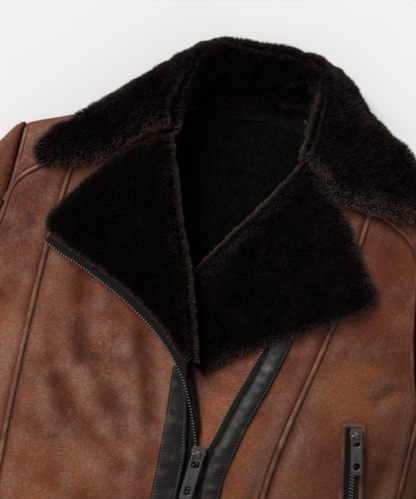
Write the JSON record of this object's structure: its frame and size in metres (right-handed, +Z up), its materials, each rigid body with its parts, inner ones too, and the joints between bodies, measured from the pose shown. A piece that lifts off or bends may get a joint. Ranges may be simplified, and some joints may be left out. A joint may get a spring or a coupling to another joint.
{
  "type": "shearling jacket laid flat",
  "caption": "Leather jacket with furred collar and wide furred lapels, lying on its back with its slanted front zip partly open.",
  "frame": {"origin": "middle of the bounding box, on the floor that the jacket's back lies on", "axes": "+X to the right as seen from above, +Y towards the collar, +Z up from the floor to the fronts"},
  "size_m": [0.8668, 0.7102, 0.0757],
  "materials": {
    "leather": "brown, rubbed, fine cracks",
    "fur": "dense near-black pile",
    "seam": "brown, topstitched",
    "band": "smooth black",
    "tape": "woven tape",
    "metal": "gunmetal"
  },
  "bodies": {
    "jacket": {"back": "leather", "centre_front_left": "leather", "centre_front_right": "leather", "side_front_left": "leather", "side_front_right": "leather", "side_panel_left": "leather", "side_panel_right": "leather", "yoke_left": "leather", "yoke_right": "leather", "sleeve_upper_left": "leather", "sleeve_upper_right": "leather", "sleeve_under_left": "leather", "sleeve_under_right": "leather", "collar": "fur", "lapel_left": "fur", "lapel_right": "fur", "seam_princess_left": "seam", "seam_princess_right": "seam", "seam_yoke_left": "seam", "seam_yoke_right": "seam", "seam_armhole_left": "seam", "seam_armhole_right": "seam", "seam_side_front_left": "seam", "seam_side_front_right": "seam", "pocket_welt": "seam", "band_left": "band", "band_right": "band", "hanger_loop": "band", "zip_tape_left": "tape", "zip_tape_right": "tape", "zip_tape_turned": "tape", "pocket_tape": "tape", "zip_slider": "metal", "pocket_slider": "metal"},
    "main_pull": {"zip_pull": "metal"},
    "chest_pull": {"pocket_pull": "metal"}
  },
  "joints": [
    {"name": "main_pull_lift", "type": "hinge", "parent": "jacket", "child": "main_pull", "pos_m": [0.031, -0.0645, 0.06221], "axis": [-0.9962, 0.0872, 0], "range_deg": [0, 150]},
    {"name": "chest_pull_lift", "type": "hinge", "parent": "jacket", "child": "chest_pull", "pos_m": [0.181, -0.0135, 0.06284], "axis": [-0.9781, -0.2079, 0], "range_deg": [0, 150]}
  ]
}
